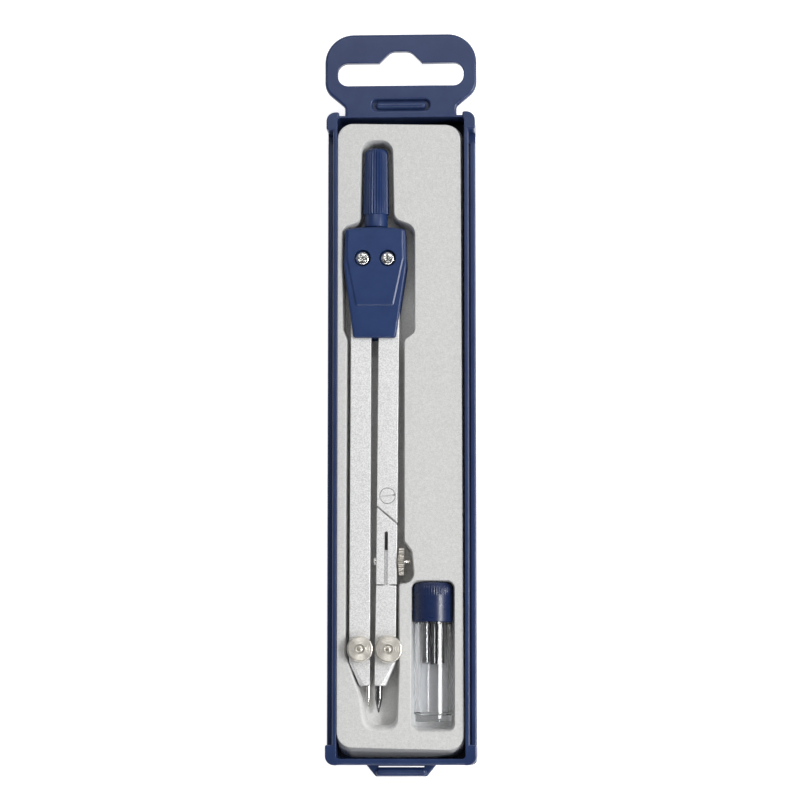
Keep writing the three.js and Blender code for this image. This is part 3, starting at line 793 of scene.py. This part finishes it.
def handle_grip():
    """Fine ribs run up the grip and fade where it rounds over; the collar below is smooth."""
    def ribbed(radius, y, turn):
        share = max(0.0, min(1.0, (y - 12.3) / 0.3, (30.2 - y) / 0.8))
        return radius - RIB_DEPTH * share * (0.5 + 0.5 * math.cos(RIBS * turn))

    low, high = 3.46, 3.18
    profile = [
        (0, 5.4), (2.2, 5.4), (2.3, 5.5), (2.3, 6.7), (2.2, 6.8), (1.6, 6.8), (1.6, 8.85), (3.0, 8.85),
        (3.12, 9.0), (3.12, 11.9), (3.08, 12.05), (3.08, 12.2), (3.3, 12.35), (low, 12.6),
    ]
    profile += [(low + (high - low) * k / 8, 12.6 + 16.0 * k / 8) for k in range(1, 9)]
    profile += [(3.08, 29.1), (2.92, 29.6), (2.62, 30.0), (2.15, 30.25), (1.5, 30.37), (0.8, 30.4), (0, 30.4)]
    return moved(lathe(profile, RIBS * 6, ribbed), turn=ALONG_Y)


# ---- Compass legs ----

def gear_sector(pivot_x, first_tooth):
    """The hub of a leg, with four of twelve teeth on the side of the other leg."""
    pitch = math.pi / 6
    towards, upward = (0, 1) if pivot_x < 0 else (math.pi, -1)
    flank = [(2.3, 0.55), (2.7, 0.5), (PIVOT_X, 0.34), (3.78, 0.16)]
    tooth = [Vector((x, -y)) for x, y in flank] + [Vector(p) for p in reversed(flank)]
    gear = bar_z(2.68, -GEAR_HALF, GEAR_HALF, 0, 0, 0.1)
    for k in range(4):
        turn = Matrix.Rotation(towards + upward * pitch * (first_tooth + k), 2)
        gear = join(gear, slab([turn @ p for p in tooth], -GEAR_HALF, GEAR_HALF, 0))
    return moved(gear, pivot_x)


def leg_root(side):
    """The strap between a gear sector and the full thickness of the leg."""
    middle = side * 3.75
    return slab(rectangle(middle - 2.25, -4.6, middle + 2.25, -0.2), -GEAR_HALF, GEAR_HALF, 0)


def leg_blank(corners, top_corners=None, bevel=0.0):
    """A leg's flat bar. Where top_corners are given, its edges slope in to them over the bevel's depth."""
    wall = outline(corners, 6)
    face = outline(top_corners, 6) if top_corners else wall
    edge = 0.18
    rings = rounding(wall, -HALF_LEG, edge, False, 3)
    if top_corners:
        nick = 0.06
        rings += [(wall, HALF_LEG - bevel), (grow(face, nick), HALF_LEG - nick)]
        rings.append((grow(face, -nick), HALF_LEG))
    else:
        rings += rounding(wall, HALF_LEG, edge, True, 3)
    return loft(rings)


def clamp_cuts(point_x, point_radius, screw_x, depth):
    """Cutters for the clamp at a leg's end: a slit, a groove for the point and a hole for the screw."""
    middle = math.copysign(4, screw_x)
    slit = block(middle - 4, LEG_END - 1, -0.35, middle + 4, -97, 0.35)
    groove = bar_y(point_radius, LEG_END - 1, depth, point_x, 0)
    return [slit, groove, bar_z(1.02, -4, 4, screw_x, CLAMP_Y)]


LEG_TOP = -4.2
EDGE = 0.14             # how far a leg's edges slope in
TAPER_BEVEL = 1.0       # and the edge of its tapered end


def needle_leg():
    """The plain leg, with its gear sector and its needle clamp."""
    wall = [
        (-1.05, LEG_TOP, 0.4), (-6.5, LEG_TOP, 0.6), (-6.15, TAPER_Y, 1.5), (-3.25, LEG_END, 0.4),
        (-0.6, LEG_END, 0.2),
    ]
    face = [
        (-1.05 - EDGE, LEG_TOP - EDGE, 0.4), (-6.5 + EDGE, LEG_TOP - EDGE, 0.6),
        (-6.15 + EDGE, TAPER_Y + 0.9, 1.5), (-3.1 + TAPER_BEVEL, LEG_END + EDGE, 0.3),
        (-0.6 - EDGE, LEG_END + EDGE, 0.2),
    ]
    body = join(leg_blank(wall, face, 0.5), leg_root(-1), gear_sector(-PIVOT_X, -1))
    cuts = clamp_cuts(NEEDLE_X, NEEDLE_RADIUS + 0.08, NEEDLE_SCREW_X, -100.5)
    return cut(body, bar_z(PIVOT_HOLE, -4, 4, -PIVOT_X, 0), *cuts)


def upper_lead_leg():
    """The upper half of the jointed leg: gear sector, slanted lower end, and the knee's fork."""
    body = leg_blank([(1.05, LEG_TOP, 0.4), (6.5, LEG_TOP, 0.6), (6.4, -71.15, 0.15), (0.93, -66.5, 0.15)])
    body = join(body, leg_root(1), gear_sector(PIVOT_X, -0.5))
    return cut(
        body,
        bar_z(PIVOT_HOLE, -4, 4, PIVOT_X, 0),
        block(-1, -80, -1.15, 9, -60.1, 1.15),
        pocket(circle(KNEE.x, KNEE.y, 2.22), 1.7, HALF_LEG, 0.04),
        bar_z(1.0, -4, 4, KNEE.x, KNEE.y),
    )


def knee_screw():
    """A flush slotted screw, its slot a few degrees off square."""
    profile = [(0, -2.5), (0.8, -2.5), (0.9, -2.4), (0.9, 1.76), (2.0, 1.76), (2.0, 2.45), (1.94, 2.53),
               (1.2, 2.56), (0, 2.57)]
    slot = loft([(rectangle(-3, -0.2, 3, 0.2), 1.9), (rectangle(-3, -0.24, 3, 0.24), 2.8)])
    screw = cut(lathe(profile, 64), moved(slot, turn=Matrix.Rotation(math.radians(8), 4, "Z")))
    return moved(screw, KNEE.x, KNEE.y)


def knee_socket():
    """The knee piece: a tongue in the fork, and a split socket for the lead holder's shank."""
    corners = [(0.92, -66.95), (6.4, -71.6), (6.28, SOCKET_END), (0.86, SOCKET_END)]
    body = leg_blank([(x, y, 0.15) for x, y in corners])
    left, right = KNEE.x - 2.5, KNEE.x + 2.4
    arm = [Vector((left, -71)), Vector((right, -73)), Vector((right, KNEE.y)), Vector((left, KNEE.y))]
    tongue = join(slab(arm, -1, 1, 0), bar_z(2.6, -1.0, 1.0, KNEE.x, KNEE.y))
    split = slab(rectangle(SHANK_X - 0.47, -95, SHANK_X + 0.47, -73.4, 0.45), -4, 4, 0)
    return cut(
        join(body, tongue),
        bar_z(1.0, -4, 4, KNEE.x, KNEE.y),
        split,
        bar_y(1.55, -95, -77.6, SHANK_X, 0),
        bar_x(0.82, -2, 9, STUD_Y, 0),
    )


def lead_holder():
    """The removable lead holder, whose forked shank straddles the clamp stud."""
    top = SOCKET_END - GAP
    wall = [
        (0.86, top, 0.15), (6.28, top, 0.15), (6.2, TAPER_Y, 1.5), (3.5, LEG_END, 0.4), (0.62, LEG_END, 0.2),
    ]
    face = [
        (0.86 + EDGE, top - EDGE, 0.15), (6.28 - EDGE, top - EDGE, 0.15), (6.2 - EDGE, TAPER_Y + 0.7, 1.5),
        (3.45 - TAPER_BEVEL, LEG_END + EDGE, 0.3), (0.62 + EDGE, LEG_END + EDGE, 0.2),
    ]
    shank = cut(bar_y(1.43, -89, -78.3, SHANK_X, 0, 0.15), block(0, -83.2, -0.85, 8, -78, 0.85))
    cuts = clamp_cuts(LEAD_X, LEAD_RADIUS + 0.1, LEAD_SCREW_X, -98)
    return cut(join(leg_blank(wall, face, 0.5), shank), *cuts)


# ---- Screws, clamps and points ----

def knurled(teeth, depth, rim):
    """A lathe shape with teeth on everything near its rim."""
    def shaped(radius, z, turn):
        share = max(0.0, min(1.0, (radius - rim) / 0.1))
        return radius - depth * share * (0.5 + 0.5 * math.cos(teeth * turn))
    return shaped


def thumb_screw(x, radius):
    """A knurled disc on a shank, its face turned in rings round a dimple with three small pits."""
    shank = [
        (0, -2.3), (0.82, -2.3), (0.92, -2.2), (0.92, HALF_LEG + 0.05), (2.0, HALF_LEG + 0.05),
        (2.1, HALF_LEG + 0.15), (2.1, 3.1), (radius - 0.35, 3.15), (radius, 3.4), (radius, 5.05),
        (radius - 0.15, 5.3), (radius - 0.3, 5.36),
    ]
    rings = 5
    relief = 0.025
    inner, outer = 1.2, radius - 0.4
    face = []
    for k in range(rings * 2 + 1):
        share = k / (rings * 2)
        height = 5.38 + 0.06 * share + (relief if k % 2 else -relief)
        face.append((outer + (inner - outer) * share, height))
    dimple = [(1.14, 5.42), (1.0, 5.25), (0.8, 5.12), (0.55, 5.18), (0.3, 5.34), (0, 5.4)]
    disc = lathe(shank + face + dimple, 240, knurled(60, 0.1, radius - 0.12))
    for k in range(3):
        turn = Matrix.Rotation(2 * math.pi * k / 3 + 0.4, 4, "Z")
        disc = cut(disc, moved(moved(lathe(capsule(0.2, 5.05, 5.6), 16), 0.54), turn=turn))
    return moved(disc, x, CLAMP_Y)


def clamp_nut():
    """The clamp nut: a coarse-knurled disc between two low domed hubs."""
    profile = [
        (0, 6.42), (1.45, 6.42), (1.6, 6.55), (1.6, 6.8), (3.5, 6.8), (3.75, 6.95), (3.75, 8.15),
        (3.5, 8.3), (1.6, 8.3), (1.45, 8.42), (0, 8.42),
    ]
    disc = lathe(profile, 220, knurled(22, 0.46, 3.3))
    return cut(moved(disc, 0, STUD_Y, 0, ALONG_X), bar_x(0.8, 6, 9, STUD_Y, 0))


def clamp_stud():
    """The stud through the socket: a small domed head at one end, and ridges for a thread at the other."""
    head = [(0, 0.02), (0.7, 0.02), (1.05, 0.12), (1.2, 0.32), (1.2, 0.7), (1.12, 0.78), (0.7, 0.78)]
    thread = []
    ridges = 9
    for k in range(ridges * 2 + 1):
        thread.append((0.7 if k % 2 == 0 else 0.62, 6.0 + 3.5 * k / (ridges * 2)))
    end = [(0.6, 9.62), (0.4, 9.76), (0, 9.8)]
    return moved(lathe(head + thread + end, 40), 0, STUD_Y, 0, ALONG_X)


def needle():
    """A needle with a long point."""
    profile = [
        (0, -120.5), (0.05, -120.4), (NEEDLE_RADIUS, -117.2), (NEEDLE_RADIUS, -103.7), (0.4, -103.6),
        (0, -103.6),
    ]
    return moved(lathe(profile, 40), NEEDLE_X, 0, 0, ALONG_Y)


def compass_lead():
    """The lead of the compass, sharpened to a cone."""
    profile = [
        (0, -121.5), (0.12, -121.45), (0.22, -121.3), (LEAD_RADIUS - 0.04, -117.9),
        (LEAD_RADIUS, -117.7), (LEAD_RADIUS, -101.5), (0.9, -101.4), (0, -101.4),
    ]
    return moved(lathe(profile, 48), LEAD_X, 0, 0, ALONG_Y)


# ---- Lead tube ----

def tube_body():
    """The clear tube: rounded lip inside the cap, a foot flange, and a thick flat bottom."""
    shoulder = CAP_MOUTH - 0.35
    profile = [
        (0, TUBE_FOOT), (4.3, TUBE_FOOT), (4.6, TUBE_FOOT + 0.12), (4.7, TUBE_FOOT + 0.4), (4.7, -83.65),
        (4.95, -83.5), (5.2, -83.3), (5.2, shoulder - 0.1), (5.1, shoulder), (4.5, shoulder), (4.5, -51.55),
        (4.4, -51.4), (4.0, -51.4), (3.9, -51.5), (3.9, -82.7), (3.7, -83.1), (3.3, -83.2), (0, -83.2),
    ]
    return moved(lathe(profile, 96), TUBE_X, 0, TUBE_Z, ALONG_Y)


def tube_cap():
    """The cap: plain skirt, short ribs under its rounded shoulder."""
    def ribbed(radius, y, turn):
        share = max(0.0, min(1.0, (y - (CAP_TOP - 3.6)) / 0.5, (CAP_TOP - 0.5 - y) / 0.4))
        return radius - (0.12 * share * (0.5 + 0.5 * math.cos(48 * turn)) if radius > 4.7 else 0.0)

    profile = [
        (0, -50.2), (4.62, -50.2), (4.62, CAP_MOUTH + 0.1), (4.75, CAP_MOUTH), (5.25, CAP_MOUTH),
        (5.35, CAP_MOUTH + 0.12), (5.35, -56), (5.35, CAP_TOP - 3.7), (5.34, CAP_TOP - 3.2),
        (5.33, CAP_TOP - 2.4), (5.33, CAP_TOP - 1.6), (5.22, CAP_TOP - 1.1), (5.0, CAP_TOP - 0.65),
        (4.6, CAP_TOP - 0.28), (4.2, CAP_TOP - 0.1), (3.7, CAP_TOP), (0, CAP_TOP),
    ]
    return moved(lathe(profile, 288, ribbed), TUBE_X, 0, TUBE_Z, ALONG_Y)


def spare_lead(node):
    """A plain stick where the CAD's spare lead lies."""
    low, high = node_box(node)
    middle = (low + high) / 2
    stick = rod((high.z - low.z) / 2, low.y, high.y, 0.08)
    return moved(stick, middle.x, 0, middle.z, ALONG_Y)


# ---- The scene ----
add_camera()
add_world()
add_softbox("key", (0.62, -0.04, 0.60), 0.22, 0.30, 3.2)
add_softbox("strip", (0.60, -0.06, 0.62), 0.90, 0.03, 2.4)
add_softbox("front", (0.05, -0.55, 0.67), 0.80, 0.07, 1.3)
add_softbox("back", (0.0, 0.42, 0.80), 0.70, 0.25, 1.5)
add_floor()
bpy.context.scene.view_settings.view_transform = "Standard"

piece("tray", "case_tray", case_tray())
piece("flocked_insert", "insert", insert())
piece("grip", "handle_grip", handle_grip(), COMPASS)
piece("front_cover", "head_front_cover", head_cover(True), COMPASS, CRISP)
piece("back_cover", "head_back_cover", head_cover(False), COMPASS, CRISP)
piece("screw_left", "head_screw_left", head_screw(-PIVOT_X, 0.55), COMPASS)
piece("screw_right", "head_screw_right", head_screw(PIVOT_X, 0.2), COMPASS)
piece("nut_left", "head_nut_left", head_nut(-PIVOT_X), COMPASS)
piece("nut_right", "head_nut_right", head_nut(PIVOT_X), COMPASS)
piece("plain_leg", "needle_leg", needle_leg(), COMPASS)
piece("jointed_leg", "lead_leg_upper", upper_lead_leg(), COMPASS)
piece("slotted_screw", "knee_screw", knee_screw(), COMPASS)
piece("split_socket", "knee_socket", knee_socket(), COMPASS)
piece("stud", "socket_clamp_stud", clamp_stud(), COMPASS)
piece("knurled_nut", "socket_clamp_nut", clamp_nut(), COMPASS)
piece("holder", "lead_holder", lead_holder(), COMPASS)
piece("needle_knob", "needle_thumb_screw", thumb_screw(NEEDLE_SCREW_X, 3.5), COMPASS, CRISP)
piece("lead_knob", "lead_thumb_screw", thumb_screw(LEAD_SCREW_X, 3.7), COMPASS, CRISP)
piece("needle_point", "needle", needle(), COMPASS)
piece("lead_point", "compass_lead", compass_lead(), COMPASS)
piece("clear_tube", "tube_body", tube_body())
piece("blue_cap", "tube_cap", tube_cap())
for index in (1, 2, 3):
    piece(f"lead_stick_{index}", f"spare_lead_{index}", spare_lead(f"spare_lead_{index}"))
